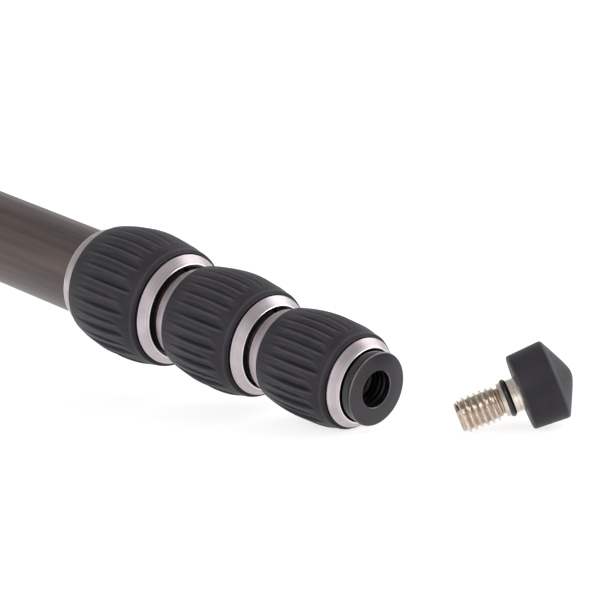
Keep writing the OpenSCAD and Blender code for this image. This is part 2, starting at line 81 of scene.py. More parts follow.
# Camera, floor and light
view = {
    "place": (1008.33, -529.33, 47.20), "lens": 180.0, "sensor": 36.0, "near": 0.01, "far": 50,
    "right": (0.695564, 0.715926, -0.060339), "up": (-0.100820, 0.180415, 0.978410),
    "ahead": (-0.711355, 0.674463, -0.197670),
}
cameraData = bpy.data.cameras.new("photoCamera")
cameraData.lens = view["lens"]
cameraData.sensor_width = view["sensor"]
cameraData.clip_start = view["near"]
cameraData.clip_end = view["far"]
camera = bpy.data.objects.new("photoCamera", cameraData)
bpy.context.scene.collection.objects.link(camera)
axes = Matrix((view["right"], view["up"], [-c for c in view["ahead"]])).transposed().to_4x4()
camera.matrix_world = move(*view["place"]) @ axes
bpy.context.scene.camera = camera
bpy.context.scene.view_settings.view_transform = "Standard"


def toLinear(hexColour):
    channels = [int(hexColour[k:k + 2], 16) / 255 for k in (1, 3, 5)]
    return [c / 12.92 if c <= 0.04045 else ((c + 0.055) / 1.055) ** 2.4 for c in channels] + [1.0]


def outOf(source):
    # A node stands for its first output
    return source.outputs[0] if hasattr(source, "outputs") else source


def addNode(tree, kind, settings=None, links=None):
    # A setting is an input by name or number, a ramp's stops, or else a property of the node
    made = tree.nodes.new(kind)
    for name, value in (settings or {}).items():
        if name == "stops":
            cells = made.color_ramp.elements
            cells[0].position, cells[1].position = value[0][0], value[-1][0]
            for at, colour in value:
                cell = next((c for c in cells if abs(c.position - at) < 0.0001), None) or cells.new(at)
                cell.color = toLinear(colour)
        elif isinstance(name, int) or name in made.inputs:
            made.inputs[name].default_value = value
        else:
            setattr(made, name, value)
    for name, source in (links or {}).items():
        tree.links.new(outOf(source), made.inputs[name])
    return made


def seenDirectly(tree):
    # 1 for what the camera sees itself, in a mirror or through glass
    rays = addNode(tree, "ShaderNodeLightPath")
    value = rays.outputs["Is Camera Ray"]
    for other in ("Is Glossy Ray", "Is Transmission Ray"):
        value = addNode(tree, "ShaderNodeMath", {"operation": "MAXIMUM"}, {0: value, 1: rays.outputs[other]})
    return value


studio = {
    # White at eye level and below, grey overhead
    "sky": [(0.0, "#FFFFFF"), (0.5, "#FFFFFF"), (0.62, "#E8E8E8"), (0.78, "#BEBEBE"), (1.0, "#B4B4B4")],
    "paper": "#B4B4B4", "lift": 0.76, "floorSize": 40, "floorParts": 8,
    "suns": {
        "sideSun": {"power": 1.05, "spread": 40, "toward": (0.77, 0.51, 0.35)},
        "frontSun": {"power": 0.7, "spread": 40, "toward": (0.1, -0.85, 0.5)},
        "backSun": {"power": 0.7, "spread": 42, "toward": (0.2, 0.8, 0.56)},  # shows the sleeves' grooves
    },
}
world = bpy.data.worlds.new("studioTent")
bpy.context.scene.world = world
world.use_nodes = True
tree = world.node_tree
tree.nodes.clear()
toward = addNode(tree, "ShaderNodeTexCoord").outputs["Generated"]
height = addNode(tree, "ShaderNodeSeparateXYZ", {}, {0: toward}).outputs["Z"]
level = addNode(tree, "ShaderNodeMapRange", {"From Min": -1.0, "From Max": 1.0}, {0: height})
sky = addNode(tree, "ShaderNodeValToRGB", {"stops": studio["sky"]}, {0: level})
glow = addNode(tree, "ShaderNodeBackground", {"Strength": 1.0}, {"Color": sky})
addNode(tree, "ShaderNodeOutputWorld", {}, {"Surface": glow})

for name, sun in studio["suns"].items():
    data = bpy.data.lights.new(name, "SUN")
    data.energy = sun["power"]
    data.angle = math.radians(sun["spread"])
    lamp = bpy.data.objects.new(name, data)
    bpy.context.scene.collection.objects.link(lamp)
    lamp.rotation_euler = Vector(sun["toward"]).to_track_quat("Z", "Y").to_euler()

bpy.ops.object.select_all(action="DESELECT")
bpy.ops.mesh.primitive_grid_add(x_subdivisions=studio["floorParts"], y_subdivisions=studio["floorParts"],
                                size=studio["floorSize"], location=(0, 0, leg["floor"] * mm))
floor = bpy.context.object
floor.name = "studioFloor"
paper = bpy.data.materials.new("paperFloor")  # matt white paper, lifted to white where it is seen
paper.use_nodes = True
tree = paper.node_tree
tree.nodes.clear()
lift = addNode(tree, "ShaderNodeMath", {"operation": "MULTIPLY", 1: studio["lift"]}, {0: seenDirectly(tree)})
glow = addNode(tree, "ShaderNodeEmission", {"Color": (1, 1, 1, 1)}, {"Strength": lift})
matt = addNode(tree, "ShaderNodeBsdfDiffuse", {"Color": toLinear(studio["paper"])})
both = addNode(tree, "ShaderNodeAddShader", {}, {0: glow, 1: matt})
addNode(tree, "ShaderNodeOutputMaterial", {}, {"Surface": both})
floor.data.materials.append(paper)
print("camera, floor and light are set")


# Materials
def startMaterial(name, settings):
    made = bpy.data.materials.new(name)
    made.use_nodes = True
    tree = made.node_tree
    tree.nodes.clear()
    shader = addNode(tree, "ShaderNodeBsdfPrincipled", settings)
    addNode(tree, "ShaderNodeOutputMaterial", {}, {"Surface": shader})
    return made, tree, shader, addNode(tree, "ShaderNodeTexCoord").outputs["Object"]


def noise(tree, place, detail, *sizes):
    # Noise whose cells measure these millimetres, one for all or one each along X, Y and Z.
    # Its values keep mostly to 0.3 to 0.7, so that finishes run over about that
    scale = [1 / (s * mm) for s in (sizes if len(sizes) == 3 else sizes * 3)]
    scaled = addNode(tree, "ShaderNodeMapping", {"Scale": scale}, {"Vector": place})
    return addNode(tree, "ShaderNodeTexNoise", {"Scale": 1.0, "Detail": detail}, {"Vector": scaled})


def ranged(tree, source, low, high, first, last):
    ends = {"From Min": low, "From Max": high, "To Min": first, "To Max": last}
    return addNode(tree, "ShaderNodeMapRange", ends, {0: source})


def blended(tree, share, a, b):
    # Share is how much of b shows
    return addNode(tree, "ShaderNodeMix", {"data_type": "FLOAT", 0: share}, {2: a, 3: b})


def tinted(tree, tint, share, colour):
    mixed = addNode(tree, "ShaderNodeMix", {"data_type": "RGBA", 7: toLinear(colour)}, {0: share, 6: tint})
    return mixed.outputs[2]


def finishShader(tree, shader, tint, rough, relief):
    for name, source in (("Base Color", tint), ("Roughness", rough), ("Normal", relief)):
        tree.links.new(outOf(source), shader.inputs[name])


def axisPlace(tree, place, matrix):
    # The place in a piece's own frame, with its axis as Z
    back = matrix.inverted()
    own = {"Location": back.to_translation(), "Rotation": back.to_euler()}
    return addNode(tree, "ShaderNodeMapping", own, {"Vector": place})


def mouldedSkin(name, v):
    # A moulded or coated skin: faint clouds of colour under a fine even grain
    made, tree, shader, place = startMaterial(name, v["shader"])
    cloud = noise(tree, place, 4.0, v["cloud"])
    grain = noise(tree, place, 2.0, v["grain"])
    tint = addNode(tree, "ShaderNodeValToRGB", {"stops": [(0.3, v["dark"]), (0.7, v["light"])]}, {0: cloud})
    rough = ranged(tree, grain, 0.3, 0.7, v["sleek"], v["dull"])
    relief = addNode(tree, "ShaderNodeBump", {"Distance": v["relief"] * mm}, {"Height": grain})
    for layer in ("hollow", "wear"):  # layers of painted highlight and painted shade that a piece carries on its points, where its finish has them
        if layer in v:
            painted = addNode(tree, "ShaderNodeAttribute", {"attribute_name": layer})
            tint = tinted(tree, tint, painted.outputs["Fac"], v[layer])
    finishShader(tree, shader, tint, rough, relief)
    return made


def turnedMetal(name, matrix, v):
    # Rings of tool marks round the axis: real ones are 0.1 mm apart, drawn a little coarser to show
    made, tree, shader, place = startMaterial(name, v["shader"])
    parts = addNode(tree, "ShaderNodeSeparateXYZ", {}, {0: axisPlace(tree, place, matrix)})
    flat = addNode(tree, "ShaderNodeCombineXYZ", {}, {0: parts.outputs[0], 1: parts.outputs[1]})
    radius = addNode(tree, "ShaderNodeVectorMath", {"operation": "LENGTH"}, {0: flat}).outputs["Value"]
    rings = addNode(tree, "ShaderNodeCombineXYZ", {}, {0: radius, 2: parts.outputs[2]})
    marks = noise(tree, rings, 3.0, v["mark"])
    mixed = blended(tree, v["show"], noise(tree, place, 3.0, v["cloud"]), marks)
    tint = addNode(tree, "ShaderNodeValToRGB", {"stops": [(0.32, v["dark"]), (0.68, v["light"])]}, {0: mixed})
    rough = ranged(tree, marks, 0.25, 0.75, v["sleek"], v["dull"])
    relief = addNode(tree, "ShaderNodeBump", {"Distance": v["relief"] * mm}, {"Height": marks})
    if "threadRootShade" in v:  # painted shade that darkens a thread's root
        root, crest, rootShadeColour = v["threadRootShade"]
        tint = tinted(tree, tint, ranged(tree, radius, root * mm, crest * mm, 1.0, 0.0), rootShadeColour)
    finishShader(tree, shader, tint, rough, relief)
    return made


def carbonTube(name, matrix, v):
    # Streaks laid along the tube, under satin lacquer
    made, tree, shader, place = startMaterial(name, v["shader"])
    own = axisPlace(tree, place, matrix)
    streaks = noise(tree, own, 3.0, *v["streak"])
    mixed = blended(tree, v["show"], streaks, noise(tree, own, 2.0, *v["cloud"]))
    stops = [(0.34, v["dark"]), (0.5, v["mid"]), (0.66, v["light"])]
    tint = addNode(tree, "ShaderNodeValToRGB", {"stops": stops}, {0: mixed})
    rough = ranged(tree, streaks, 0.2, 0.8, v["sleek"], v["dull"])
    relief = addNode(tree, "ShaderNodeBump", {"Distance": v["relief"] * mm}, {"Height": streaks})
    finishShader(tree, shader, tint, rough, relief)
    return made


rubber = {  # moulded rubber: charcoal, matt, with a slight bloom
    "shader": {"IOR": 1.52, "Specular IOR Level": 0.22}, "dark": "#2B292E", "light": "#37343A",
    # painted highlight colour for groove crests, slopes and edges; painted shade colour for groove roots
    "wear": "#6A666C", "hollow": "#19171B",
    "cloud": 5, "grain": 0.3, "relief": 0.03, "sleek": 0.42, "dull": 0.58}
powderCoat = {  # cast aluminium under a black powder coat: even, with a low orange peel
    "shader": {"IOR": 1.5, "Coat Weight": 0.2, "Coat Roughness": 0.35}, "dark": "#262628", "light": "#313134",
    "cloud": 10, "grain": 0.8, "relief": 0.02, "sleek": 0.4, "dull": 0.5}
acetal = {  # moulded acetal: dense black plastic with a soft shine
    "shader": {"IOR": 1.48}, "dark": "#161617", "light": "#202022",
    "cloud": 4, "grain": 0.5, "relief": 0.01, "sleek": 0.36, "dull": 0.44}
sealRubber = {  # nitrile ring: black and oily
    "shader": {"IOR": 1.52}, "dark": "#0D0D0E", "light": "#141415",
    "cloud": 3, "grain": 0.4, "relief": 0.004, "sleek": 0.16, "dull": 0.26}
fluid = {  # tinted spirit under a clear dome
    "shader": {"IOR": 1.45, "Coat Weight": 1.0, "Coat Roughness": 0.02},
    "dark": "#9CC43A", "light": "#B9DB55",
    "cloud": 3, "grain": 2, "relief": 0.002, "sleek": 0.05, "dull": 0.08}
carbon = {  # carbon fibre laid along the tube: grey-brown, in soft streaks 1 mm wide
    "shader": {"IOR": 1.5, "Coat Weight": 0.22, "Coat Roughness": 0.34, "Coat IOR": 1.5},
    "dark": "#342A28", "mid": "#4E403C", "light": "#66554F", "streak": (1.1, 1.1, 70), "cloud": (8, 8, 90),
    "show": 0.62, "relief": 0.01, "sleek": 0.36, "dull": 0.52}
champagne = {  # aluminium, finely turned and clear anodised: pale silver with a mauve cast, softly bright
    "shader": {"Metallic": 1.0}, "dark": "#A4989C", "light": "#D4CACD",
    "cloud": 7, "mark": 0.16, "show": 0.6, "relief": 0.016, "sleek": 0.27, "dull": 0.42}
brightCutHighlight = {  # the same aluminium where its edges are cut bright after anodising, sleeker; its lighter colour there is painted highlight
    "shader": {"Metallic": 1.0}, "dark": "#E6DDDF", "light": "#FAF5F6",
    "cloud": 7, "mark": 0.16, "show": 0.3, "relief": 0.003, "sleek": 0.12, "dull": 0.2}
blackAnodised = {  # aluminium, turned and dyed black: dark grey, satin, a little metallic
    "shader": {"Metallic": 0.4}, "dark": "#38353A", "light": "#403C41",
    "cloud": 6, "mark": 0.2, "show": 0.25, "relief": 0.002, "sleek": 0.26, "dull": 0.34}
boreShadeAnodised = {  # the same dye in the bore and the flange's groove, painted near black as their shade
    "shader": {"Metallic": 0.1, "Specular IOR Level": 0.3}, "dark": "#0B0B0C", "light": "#141415",
    "cloud": 3, "mark": 0.3, "show": 0.4, "relief": 0.006, "sleek": 0.26, "dull": 0.4}
shadedPolishedBlack = {  # the same dye on the wall behind the flange: a clear shine, with a darker colour that is painted shade
    "shader": {"Metallic": 0.1}, "dark": "#2A282B", "light": "#373438",
    "cloud": 5, "mark": 0.2, "show": 0.4, "relief": 0.003, "sleek": 0.12, "dull": 0.22}
highlitBlack = {  # the same dye, painted lighter along the face's rim and the mouth's edge as a highlight
    "shader": {"Metallic": 0.6}, "dark": "#605C62", "light": "#7F7B81",
    "cloud": 4, "mark": 0.2, "show": 0.3, "relief": 0.003, "sleek": 0.3, "dull": 0.42}
nickel = {  # nickel plated steel: bright, with a warm cast
    # painted shade colour for the thread's root
    "shader": {"Metallic": 1.0}, "dark": "#C2B3A6", "light": "#F7EEE6", "threadRootShade": (3.7, 4.15, "#B0A08C"),
    "cloud": 2.5, "mark": 0.22, "show": 0.35, "relief": 0.006, "sleek": 0.08, "dull": 0.17}
looks = {
    "rubber": mouldedSkin("mouldedRubber", rubber), "cast": mouldedSkin("powderCoatedCasting", powderCoat),
    "acetal": mouldedSkin("mouldedAcetal", acetal), "seal": mouldedSkin("nitrileSeal", sealRubber),
    "fluid": mouldedSkin("levelFluid", fluid)}
turnedFinishes = {
    "turned": ("TurnedAluminium", champagne), "black": ("BlackAnodised", blackAnodised),
    "bore": ("TappedBorePaintedShade", boreShadeAnodised), "wall": ("PolishedBlackPaintedShade", shadedPolishedBlack),
    "edgeHighlight": ("PaintedHighlightBlack", highlitBlack), "edge": ("BrightCutEdgeHighlight", brightCutHighlight)}
# A finish that follows an axis is kept by its kind and by the hub or a leg's letter
hubAxis = Matrix.Identity(4)
looks["carbon", "hub"] = carbonTube("hubCarbonTube", hubAxis, carbon)
looks["nickel", "hub"] = turnedMetal("hubNickelSteel", hubAxis, nickel)
looks["turned", "hub"] = turnedMetal("hubTurnedAluminium", hubAxis, champagne)
looks["black", "hub"] = turnedMetal("hubBlackAnodised", hubAxis, blackAnodised)
for i, name in enumerate(legNames):
    label = "leg" + name.upper()
    looks["carbon", name] = carbonTube(label + "CarbonTube", legMatrix(i), carbon)
    looks["nickel", name] = turnedMetal(label + "NickelSteel", footMatrix(i), nickel)
    for kind, (words, values) in turnedFinishes.items():
        looks[kind, name] = turnedMetal(label + words, legMatrix(i), values)
print("materials are made")


# Ways of making that several pieces share
making = {
    "spinWeld": 0.002, "solidWeld": 0.004,  # millimetres
    "flatWithin": 1.5, "sharpFrom": 38, "smoothTo": 30,  # degrees
}


def choose(piece):
    bpy.ops.object.select_all(action="DESELECT")
    piece.select_set(True)
    bpy.context.view_layer.objects.active = piece


def turned(name, outline, sides):
    # Spins an outline of radius and height round Z
    bpy.ops.object.select_all(action="DESELECT")
    bpy.ops.mesh.primitive_plane_add(size=2 * mm)
    piece = bpy.context.object
    piece.name = name
    bpy.ops.object.mode_set(mode="EDIT")
    bpy.ops.mesh.select_mode(type="VERT")
    bpy.ops.mesh.merge(type="CENTER")
    bpy.ops.transform.translate(value=(outline[0][0] * mm, 0, outline[0][1] * mm))
    for a, b in zip(outline, outline[1:]):
        step = ((b[0] - a[0]) * mm, 0, (b[1] - a[1]) * mm)
        bpy.ops.mesh.extrude_vertices_move(TRANSFORM_OT_translate={"value": step})
    bpy.ops.mesh.select_all(action="SELECT")
    bpy.ops.mesh.spin(steps=sides, angle=2 * math.pi, center=(0, 0, 0), axis=(0, 0, 1))
    bpy.ops.mesh.select_all(action="SELECT")
    bpy.ops.mesh.remove_doubles(threshold=making["spinWeld"] * mm)
    bpy.ops.mesh.normals_make_consistent(inside=False)
    bpy.ops.object.mode_set(mode="OBJECT")
    return piece


def stretch(radius, height, steps, unit=1):
    # Part of an outline, as steps in radius and height from one of its corners
    return [(radius + a * unit, height + b * unit) for a, b in steps]


def threadWall(radius, start, end, steps):
    return [(radius, start + (end - start) * k / steps) for k in range(steps + 1)]


def smooth(piece, angle):
    choose(piece)
    bpy.ops.object.shade_smooth_by_angle(angle=math.radians(angle))


def copyOf(piece, name):
    made = piece.copy()
    made.data = piece.data.copy()
    made.name = name
    bpy.context.scene.collection.objects.link(made)
    return made


def settle(piece, matrix):
    choose(piece)
    piece.matrix_world = matrix
    bpy.ops.object.transform_apply(location=True, rotation=True, scale=True)


def paint(piece, material):
    piece.data.materials.clear()
    piece.data.materials.append(material)


def fit(piece, body, material, slot, *stoodFor):
    paint(piece, material)
    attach(piece, body)
    if stoodFor:
        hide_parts(*stoodFor)


def eased(node, name, width):
    # A copy of a solid with its edges broken
    piece = copyOf(nodes[node], name)
    piece.parent = None
    for key in list(piece.keys()):
        del piece[key]
    piece.hide_render = False
    choose(piece)
    bpy.ops.object.mode_set(mode="EDIT")
    bpy.ops.mesh.select_all(action="SELECT")
    bpy.ops.mesh.remove_doubles(threshold=making["solidWeld"] * mm)
    bpy.ops.mesh.dissolve_limited(angle_limit=math.radians(making["flatWithin"]))
    bpy.ops.object.mode_set(mode="OBJECT")
    edges = piece.modifiers.new("brokenEdges", "BEVEL")
    edges.width = width * mm
    edges.segments = 2
    edges.limit_method = "ANGLE"
    edges.angle_limit = math.radians(making["sharpFrom"])
    bpy.ops.object.modifier_apply(modifier=edges.name)
    smooth(piece, making["smoothTo"])
    return piece


def readPoints(piece):
    flat = np.empty(len(piece.data.vertices) * 3)
    piece.data.vertices.foreach_get("co", flat)
    return flat.reshape(-1, 3) / mm


def writePoints(piece, points):
    piece.data.vertices.foreach_set("co", (points * mm).ravel())
    piece.data.update()


def paintPoints(piece, layer, values):
    # Keeps a value for each point, for a finish to read
    made = piece.data.attributes.new(layer, "FLOAT", "POINT")
    made.data.foreach_set("value", np.clip(values, 0, 1).astype(np.float32))


def finishFaces(piece, faces, look):
    # Gives the numbered faces another finish
    piece.data.materials.append(look)
    for face in faces:
        piece.data.polygons[face].material_index = len(piece.data.materials) - 1


def reachFrom(radius, height, reach):
    # A band of faces round a corner, from how far it reaches inward, outward, down and up
    inward, outward, down, up = reach
    return radius - inward, radius + outward, height - down, height + up


def facesWithin(piece, bands):
    # Numbers of the faces whose middle lies in a band: lowest and highest radius, lowest and highest height
    found = []
    for face in piece.data.polygons:
        r, z = math.hypot(face.center.x, face.center.y) / mm, face.center.z / mm
        if any(a < r < b and c < z < d for a, b, c, d in bands):
            found.append(face.index)
    return found


# Rubber sleeves of the twist locks
sleeve = {  # one value for each lock, from the thickest tube on. Rises are measured from the tube
    "rise": [5.87, 5.5, 5.1], "rearRise": [3.75, 3.8, 3.5], "frontRise": [3.95, 3.55, 3.3],
    "fullestAt": [0.5, 0.46, 0.46],  # share of the length, from the front
    "first": [-1.0, -0.5, 4.5],  # where the first groove lies, in degrees
    "loose": 0.03, "rearGap": 0.1, "frontGap": 0.15,
}
grip = {  # what all sleeves share
    "rows": 64, "sides": 480, "crowd": 0.78, "grooves": 32, "inset": 0.1, "rearFlat": 0.45, "rearRound": 0.12,
    "lipBack": 1.1, "lipHigh": 0.2, "lipWide": 0.35, "lipRound": 0.45, "lipTurns": [20, 45, 70, 90],
    "standOff": 0.2, "slit": 0.9, "slitRound": 0.25, "skin": 0.6,
    # painted highlight along the lip: its strength, how far behind the lip and how wide
    "lipHighlightStrength": 0.3, "highlightBehind": 0.15, "highlightWide": 0.3, "smoothTo": 50,
}
# Start, full, end and scoop are shares of the length
mainGroove = {"start": 0.03, "full": 0.5, "end": 0.88, "scoop": 0.13,
              "deep": 0.8, "slope": 4.6, "step": 0.22, "ridge": 0.16}
smallGroove = {"start": 0.08, "full": 0.42, "end": 0.84, "scoop": 0.2,
               "deep": 0.5, "slope": 2.6, "step": 0.22, "ridge": 0.1}
uneven = {  # how grooves differ from each other, and how far that goes in their ends, growth and depth
    "turn": 2.4, "slowTurn": 1.1, "slowStart": 2, "slowShare": 0.5, "end": 0.018, "full": 0.05, "deep": 0.12}
carving = {
    "swell": 1.2, "close": 0.8, "narrowest": 0.35, "bowl": 1.7, "fadeIn": 2,
    "crestAt": 2.2, "crestWide": 1.6,  # in widths of the step
    "shoreAt": 0.5,  # share of the slope
    "shoreWide": 0.3, "rootAt": 0.35, "rootWide": 0.4,
    # strengths of the painted highlight on crests and slopes and of the painted shade in roots
    "crestHighlightStrength": 0.42, "shoreHighlightStrength": 0.2, "rootShadeStrength": 0.9,
}


def bell(value, middle, width):
    # 1 at the middle, falling off softly to both sides
    return np.exp(-((value - middle) / width) ** 2)


def barrelRadius(share, size):
    # Share runs from the rear edge to the front edge
    top = 1 - size["fullestAt"]
    if share < top:
        u = (top - share) / top
        return size["full"] - (size["full"] - size["rear"]) * u * u
    u = (share - top) / (1 - top)
    return size["full"] - (size["full"] - size["front"]) * u * u


def gripBlank(name, v, size):
    # The sleeve before its grooves: rounded ends, a low lip near the front and a slit before the ring
    inner, rear, back, ahead = size["inner"], size["rear"], size["back"], size["ahead"]
    length = ahead - back
    outline = [(inner, back + v["inset"]), (rear - v["rearFlat"], back),
               (rear - v["rearRound"], back + v["rearRound"])]
    for k in range(1, v["rows"]):
        share = k / v["rows"]
        lip = v["lipHigh"] * bell(length * (1 - share), v["lipBack"], v["lipWide"])
        outline.append((barrelRadius(share, size) + lip, back + share * length))
    for a in v["lipTurns"]:
        inward, down = 1 - math.cos(math.radians(a)), 1 - math.sin(math.radians(a))
        outline += stretch(size["front"], ahead - v["standOff"], [(-inward, -down)], v["lipRound"])
    outline += [(inner + v["slitRound"], ahead - v["slit"]), (inner, ahead - v["slit"]), outline[0]]
    return turned(name, outline, v["sides"])


def carveGrooves(piece, v, size):
    # Each groove slopes in from its upper side and comes back out at a sharp step. It grows from the
    # rear and ends in a short scoop near the front, with a smaller groove between every two
    points = readPoints(piece)
    radius = np.hypot(points[:, 0], points[:, 1])
    pitch = 2 * math.pi / v["grooves"]
    start = math.radians(size["first"])
    turns = (np.arctan2(points[:, 1], points[:, 0]) - start) / pitch
    turns -= v["crowd"] * np.sin(2 * np.pi * turns) / (2 * np.pi)  # more of the mesh goes to the steps
    angle = start + turns * pitch
    length = size["ahead"] - size["back"]
    share = (points[:, 2] - size["back"]) / length
    depth, lift, wear, hollow = (np.zeros(len(points)) for _ in range(4))
    for g in range(v["grooves"]):
        cut = mainGroove if g % 2 == 0 else smallGroove
        wave = math.sin(g * uneven["turn"])
        wave += uneven["slowShare"] * math.sin(g * uneven["slowTurn"] + uneven["slowStart"])
        end = cut["end"] + uneven["end"] * wave
        grown = np.clip((share - cut["start"]) / (cut["full"] - cut["start"] + uneven["full"] * wave), 0, 1)
        left = np.clip((end - share) / cut["scoop"], 0, 1)
        strength = grown ** carving["swell"] * left ** carving["close"]
        wide = cut["slope"] * (carving["narrowest"] + (1 - carving["narrowest"]) * strength)
        aside = (angle - start - g * pitch + math.pi) % (2 * math.pi) - math.pi
        across = aside * radius
        slope = np.clip(1 + across / wide, 0, 1) ** carving["bowl"]
        step = np.clip(1 - across / cut["step"], 0, 1)
        deep = cut["deep"] * (1 + uneven["deep"] * wave)
        depth = np.maximum(depth, deep * strength * np.where(across < 0, slope, step))
        crest = bell(across, carving["crestAt"] * cut["step"], carving["crestWide"] * cut["step"])
        lift = np.maximum(lift, cut["ridge"] * strength * crest)  # the far edge stands a little proud
        shore = bell(across, -carving["shoreAt"] * wide, carving["shoreWide"])
        root = bell(across, -carving["rootAt"], carving["rootWide"])
        shown = np.clip(carving["fadeIn"] * strength, 0, 1)
        # painted highlight on each groove's crest and slope
        highlit = np.maximum(carving["crestHighlightStrength"] * crest, carving["shoreHighlightStrength"] * shore)
        wear = np.maximum(wear, shown * highlit)
        # painted shade in each groove's root
        hollow = np.maximum(hollow, carving["rootShadeStrength"] * shown * root)
    outside = radius > size["inner"] + v["skin"]
    # painted highlight along the lip near the front
    lip = bell((1 - share) * length, v["lipBack"] + v["highlightBehind"], v["highlightWide"])
    wear = np.maximum(wear, v["lipHighlightStrength"] * lip)
    keep = radius + (lift - depth) * outside
    points[:, 0] = keep * np.cos(angle)
    points[:, 1] = keep * np.sin(angle)
    writePoints(piece, points)
    paintPoints(piece, "wear", wear * outside)
    paintPoints(piece, "hollow", hollow * outside)


for k in range(3):
    r = leg["tubeRadii"][k]
    size = {"rear": r + sleeve["rearRise"][k], "full": r + sleeve["rise"][k],
            "front": r + sleeve["frontRise"][k], "fullestAt": sleeve["fullestAt"][k],
            "first": sleeve["first"][k], "inner": r + leg["core"] + sleeve["loose"],
            "back": leg["lockRear"][k] + leg["rearRing"] + sleeve["rearGap"],
            "ahead": leg["lockFront"][k] - leg["cone"] - sleeve["frontGap"]}
    blank = gripBlank("gripBlank", grip, size)
    carveGrooves(blank, grip, size)
    smooth(blank, grip["smoothTo"])
    for i, name in enumerate(legNames):
        piece = copyOf(blank, f"gripSleeve_{name}{k + 1}")
        settle(piece, legMatrix(i))
        fit(piece, f"lock_{name}{k + 1}", looks["rubber"], "grip_rubber", f"leg_{name}_sleeve_{k + 1}")
    bpy.data.objects.remove(blank)
print("lock sleeves are carved")

# Bright collars of the twist locks
collar = {
    "coneRise": [3.25, 2.95, 2.8], "mouthRise": [1.35, 1.1, 1.05], "rearRise": 2.2, "edge": 0.3,
    "lip": 0.27, "lipIn": 0.25, "lipTurns": [33, 50, 70, 90, 115, 140, 165], "ferrule": 1.2, "gap": 0.15,
    "threadBack": 7.6, "rearWall": 1, "seam": 0.02,
    # From the tube's wall at the rear end, the rear ring's front corner, the cone's rear corner in widths of
    # its edge, the mouth's corner, and the tube's wall at the front end
    "rearFace": [(0.1, 0.15), (0.25, 0), (1.65, 0), (1.9, 0.12), (2.02, 0.4)],
    "rearCorner": [(-0.02, -0.75), (0, -0.35), (-0.12, 0)],
    "coneCorner": [(-1, 0), (-0.45, 0.1), (-0.12, 0.4), (-0.05, 1)],
    "lipFoot": [(-0.55, -0.4)],
    "throat": [(0.15, -0.9), (0.15, -1.5)],
    # How far the bright cut, lighter as a painted highlight, reaches from the mouth, the cone's rear corner
    # and the rear ring's two corners
    "mouthCut": [0.45, 0.1, 0.3, 0.1], "coneCut": [0.3, 0, 0.1, 0.3],
    "ringCut": [0.14, 0.1, 0.35, 0.1], "rearCut": [0.6, -0.15, 0.1, 0.4],
    "sides": 160, "smoothTo": 24,
}
for k in range(3):
    r = leg["tubeRadii"][k]
    back, ahead = leg["lockRear"][k], leg["lockFront"][k]
    ring, cone = back + leg["rearRing"], ahead - leg["cone"]
    core, thread = r + leg["core"], r + collar["ferrule"] + collar["gap"]
    rear, rise, mouth = r + collar["rearRise"], r + collar["coneRise"][k], r + collar["mouthRise"][k]
    outline = stretch(r, back, collar["rearFace"]) + stretch(rear, ring, collar["rearCorner"])
    outline += [(core, ring + collar["seam"]), (core, cone)]
    outline += stretch(rise, cone, collar["coneCorner"], collar["edge"])
    for a in collar["lipTurns"]:
        outward, down = math.cos(math.radians(a)), 1 - math.sin(math.radians(a))
        outline += stretch(mouth - collar["lipIn"], ahead, [(outward, -down)], collar["lip"])
    outline += stretch(mouth, ahead, collar["lipFoot"]) + stretch(r, ahead, collar["throat"])
    outline += [(thread, ahead - collar["threadBack"]), (thread, ring - collar["rearWall"]),
                (outline[0][0], ring - collar["rearWall"]), outline[0]]
    blank = turned("collarBlank", outline, collar["sides"])
    smooth(blank, collar["smoothTo"])
    # faces that get the bright cut with its painted highlight
    brightCutHighlightFaces = facesWithin(blank, [
        reachFrom(mouth, ahead, collar["mouthCut"]), reachFrom(rise, cone, collar["coneCut"]),
        reachFrom(rear, ring, collar["ringCut"]), reachFrom(rear, back, collar["rearCut"])])
    for i, name in enumerate(legNames):
        piece = copyOf(blank, f"lockCollar_{name}{k + 1}")
        settle(piece, legMatrix(i))
        fit(piece, f"lock_{name}{k + 1}", looks["turned", name], "turned_aluminium",
            f"leg_{name}_collar_{k + 1}")
        finishFaces(piece, brightCutHighlightFaces, looks["edge", name])
    bpy.data.objects.remove(blank)
print("lock collars are turned")

# Threads
flank = {"onWall": 0.02, "steep": 2.5, "flat": 0.1}


def cutThread(piece, v):
    # Winds a thread into a plain turned wall, from the root's radius to the crest's
    points = readPoints(piece)
    radius = np.hypot(points[:, 0], points[:, 1])
    angle = np.arctan2(points[:, 1], points[:, 0])
    inside = (points[:, 2] > v["from"]) & (points[:, 2] < v["to"])
    inside &= abs(radius - v["root"]) < flank["onWall"]
    turns = (points[:, 2] / threadPitch - angle / (2 * math.pi)) % 1
    ridge = np.clip((0.5 - abs(turns - 0.5)) * flank["steep"] - flank["flat"], 0, 1)
    fade = np.clip((points[:, 2] - v["from"]) / v["runOut"], 0, 1)
    fade *= np.clip((v["to"] - points[:, 2]) / v["runIn"], 0, 1)
    grown = v["root"] + (v["crest"] - v["root"]) * ridge * fade
    keep = np.where(inside, grown / np.maximum(radius, 0.001), 1.0)
    points[:, 0] *= keep
    points[:, 1] *= keep
    writePoints(piece, points)


